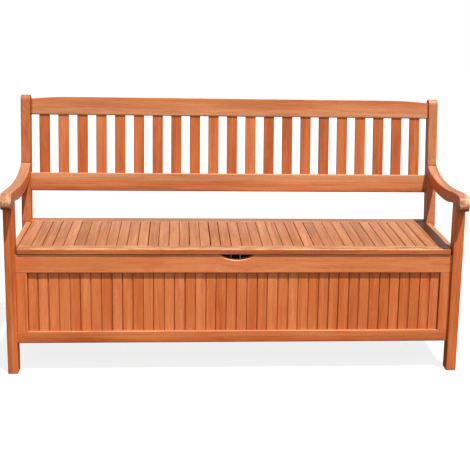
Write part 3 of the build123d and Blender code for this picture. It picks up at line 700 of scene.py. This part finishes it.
def lidBoard(low, high, tone):
    # section carried along Y; over the last stretch the top falls as far as it runs, and hinges get some room
    middle, half = (low + high) / 2, (high - low) / 2
    near = np.min(np.abs(np.array(lid["hinges"]) - middle[0])) < lid["hingeHalf"] + half[0]
    length = high[1] - low[1] - (lid["hingeRoom"] if near else 0.0)
    along = np.array([0.0, lid["ease"] / 3, lid["ease"], length - lid["joint"], length])
    inset = np.array([lid["ease"], lid["ease"] / 3, 0.0, 0.0, 0.0])
    drop = np.array([0.0, 0.0, 0.0, 0.0, lid["joint"]])
    u, v, rim = roundProfile(half[2] - inset - drop / 2, half[0] - inset, lid["slatRound"])
    height = middle[2] + u - drop[:, None] / 2
    places = np.stack([middle[0] + v, low[1] + along[:, None] + 0 * u, height], axis=-1)
    return carried(places, -rim * jointDirt(), along, u, v, tone)


def buildLidBoards():
    # slats and end boards; the middle of each is returned for its screws
    low, high = nodeBox("lid_slats")
    slats, middles = [], []
    for start, stop in rowOfBoxes(low, high, lid["slats"], lid["gap"], 0, lid["uneven"]):
        slats.append(lidBoard(start, stop, boardTone(*lid["slatTone"])))
        middles.append((start[0] + stop[0]) / 2)
    standIn("lid_slats", slats, "lid")
    for node in ("lid_end_board_left", "lid_end_board_right"):
        low, high = nodeBox(node)
        standIn(node, [lidBoard(low, high, lid["endTone"])], "lid")
        middles.append((low[0] + high[0]) / 2)
    return middles


def buildBattens(middles):
    # screw heads: short discs, one under each board on both battens
    discs = []
    for node in battens:
        low, high = nodeBox(node)
        y = (low[1] + high[1]) / 2
        for x in middles:
            start = (x, y, low[2] - lid["screwProud"])
            end = (x, y, low[2] + lid["screwDeep"])
            radius = lid["screw"]
            discs.append(straightBoard(start, end, across, radius, radius, radius, lid["screwEase"]))
    makePiece("lid slat screws", discs, "lid", material=steel)
    for node in battens:
        standIn(node, [boxBoard(*nodeBox(node), 0, lid["battenRound"], lid["battenEase"])], "lid")


def buildLidRail():
    # a nose that is seen and a ledge behind it that carries the slats
    low, high = nodeBox("lid_front_rail")
    noseHigh = high.copy()
    noseHigh[1] = low[1] + lid["railWide"]
    rounds = (lid["railRound"], lid["noseRound"], *lid["lowRounds"])
    nose = boxBoard(low, noseHigh, 0, rounds, lid["railRound"], lid["railTone"], lid["railAired"])
    # its top carries a painted highlight in the pale colour, its front is the deepest wood of the lid
    onTop = nose["co"][:, 2] > seatTop - lid["noseRound"] / 2
    nose["tone"] = np.where(onTop, lid["topTone"], nose["tone"])
    nose["rim"] = np.where(onTop, lid["topHighlight"], nose["rim"])
    low[1] = noseHigh[1] - lid["ledgeLap"]
    high[2] = seatTop - lid["slatThick"]
    ledge = boxBoard(low, high, 0, lid["ledgeRound"], lid["ledgeRound"], lid["ledgeTone"])
    standIn("lid_front_rail", [nose, ledge], "lid")


rearStrip = {"rounds": (0.002, lid["joint"], 0.001, 0.002), "ease": 0.0002, "tone": -0.15}


def buildRearStrip():
    # its front upper edge is rounded as far as the lid's rear edge slopes
    low, high = nodeBox("seat_rear_strip")
    board = boxBoard(low, high, 0, rearStrip["rounds"], rearStrip["ease"], rearStrip["tone"])
    standIn("seat_rear_strip", [board])


buildUprights()
buildArms()
buildBackRails()
buildBackSlats()
buildPanels()
buildFrontTopRail()
buildBattens(buildLidBoards())
buildLidRail()
buildRearStrip()
for name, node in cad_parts.items():
    if name.startswith(("hinge_", "frame_bolts", "arm_bolts", "barrel_nuts")):
        node.data.materials.clear()
        node.data.materials.append(steel)


camera = {"place": (-0.2014, -3.7767, 1.3631), "yaw": 4.769, "pitch": 13.286, "roll": 1.259, "lens": 82.588,
          "sensor": 36.0, "shift": (-0.0649, -0.0203), "reach": 60.0}


def setCamera():
    # yaw turns it to the right, pitch down, and roll about its own line of sight
    yaw, pitch, roll = np.radians([camera["yaw"], camera["pitch"], camera["roll"]])
    ahead = np.array([np.sin(yaw) * np.cos(pitch), np.cos(yaw) * np.cos(pitch), -np.sin(pitch)])
    right = np.array([np.cos(yaw), -np.sin(yaw), 0.0])
    top = np.cross(right, ahead)
    turned = np.cos(roll) * right + np.sin(roll) * top
    raised = -np.sin(roll) * right + np.cos(roll) * top
    data = bpy.data.cameras.new("photo camera")
    data.lens = camera["lens"]
    data.sensor_width = camera["sensor"]
    data.shift_x, data.shift_y = camera["shift"]
    data.clip_end = camera["reach"]
    eye = bpy.data.objects.new("photo camera", data)
    stand = np.eye(4)
    stand[:3, :3] = np.column_stack([turned, raised, -ahead])
    stand[:3, 3] = camera["place"]
    eye.matrix_world = Matrix(stand.tolist())
    bpy.context.scene.collection.objects.link(eye)
    bpy.context.scene.camera = eye


light = {
    "toSun": (0.225, -0.36, 1.0), "sun": 5.3, "softness": 1.2, "sky": 0.12, "shine": 0.28,
    "front": 61.0, "rear": 34.0, "panelSize": (6.0, 2.4), "panelAway": 4.4, "panelHigh": 3.2, "aimHigh": 0.5,
    "floor": 0.20, "floorSeen": 0.84, "floorHalf": 12.0, "floorRough": 0.9, "floorShine": 0.1,
}


def setSunAndPanels():
    # high sun from the right, and a wide soft panel before and behind the bench
    sunData = bpy.data.lights.new("sun", "SUN")
    sunData.energy = light["sun"]
    sunData.angle = np.radians(light["softness"])
    sun = bpy.data.objects.new("sun", sunData)
    sun.rotation_euler = Vector(light["toSun"]).to_track_quat("Z", "Y").to_euler()
    bpy.context.scene.collection.objects.link(sun)
    for name, y in (("front", -light["panelAway"]), ("rear", light["panelAway"])):
        data = bpy.data.lights.new(name + " panel light", "AREA")
        data.shape = "RECTANGLE"
        data.size, data.size_y = light["panelSize"]
        data.energy = light[name]
        lamp = bpy.data.objects.new(name + " panel light", data)
        lamp.location = (0.0, y, light["panelHigh"])
        outward = Vector((0.0, y, light["panelHigh"] - light["aimHigh"]))
        lamp.rotation_euler = outward.to_track_quat("Z", "Y").to_euler()
        bpy.context.scene.collection.objects.link(lamp)


def setSky():
    # a weak even sky that the camera sees as white
    world = bpy.data.worlds.new("studio")
    bpy.context.scene.world = world
    world.use_nodes = True
    tree = world.node_tree
    path = tree.nodes.new("ShaderNodeLightPath")
    seen = Shade(tree, path.outputs["Is Camera Ray"]) * (1.0 - light["sky"])
    mirrored = Shade(tree, path.outputs["Is Glossy Ray"]) * (light["shine"] - light["sky"])
    back = tree.nodes["Background"]
    back.inputs["Color"].default_value = (1.0, 1.0, 1.0, 1.0)
    plug(tree, back.inputs["Strength"], light["sky"] + seen + mirrored)


def setFloor():
    # a floor that glows for the camera, so that only the bench's shadow shows on it
    side = light["floorHalf"]
    mesh = bpy.data.meshes.new("floor")
    corners = [(-side, -side, 0), (side, -side, 0), (side, side, 0), (-side, side, 0)]
    mesh.from_pydata(corners, [], [(0, 1, 2, 3)])
    floor = bpy.data.objects.new("floor", mesh)
    paving = Finish("pale floor")
    direct = paving.add("LightPath") * light["floorSeen"]
    paving.surface(Base_Color=(*[light["floor"]] * 3, 1), Roughness=light["floorRough"],
                   Emission_Color=paving.blend(direct, (0, 0, 0, 1), (1, 1, 1, 1)))
    paving.shader.inputs["Emission Strength"].default_value = 1.0
    paving.shader.inputs["Specular IOR Level"].default_value = light["floorShine"]
    mesh.materials.append(paving.material)
    bpy.context.scene.collection.objects.link(floor)


setCamera()
setSunAndPanels()
setSky()
setFloor()
bpy.context.scene.view_settings.view_transform = "Standard"
print("camera, light and floor set")
